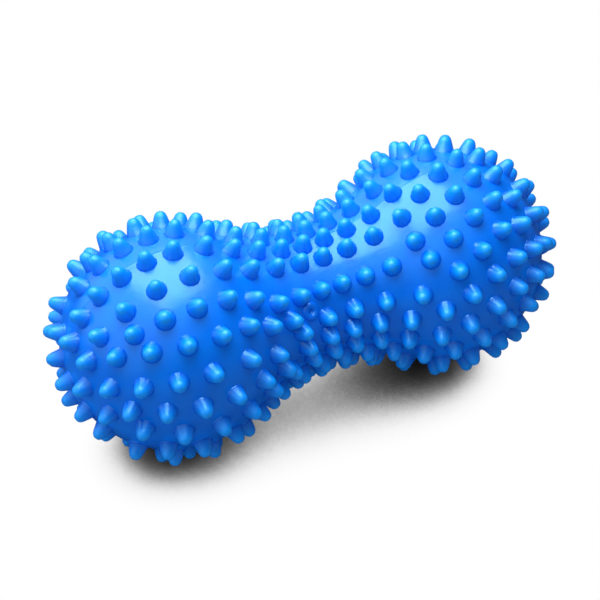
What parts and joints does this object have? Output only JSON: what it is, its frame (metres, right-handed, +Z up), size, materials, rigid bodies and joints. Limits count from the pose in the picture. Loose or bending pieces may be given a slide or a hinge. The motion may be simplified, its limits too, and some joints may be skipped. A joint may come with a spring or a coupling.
{
  "type": "peanut massage ball",
  "caption": "Soft spiky massage roller in a peanut shape: round lobes joined by a slim waist, blunt spikes all over, and a small air valve at the waist.",
  "frame": {"origin": "on the surface that the ball rests on, under the middle of its outer box", "axes": "+X along the long axis, from the left lobe to the right lobe; +Z up; -Y towards the side with the valve"},
  "size_m": [0.163, 0.0748, 0.075],
  "materials": {
    "vinyl": "soft moulded vinyl, semi-gloss"
  },
  "bodies": {
    "root": {"massage_ball": "vinyl"}
  },
  "joints": []
}
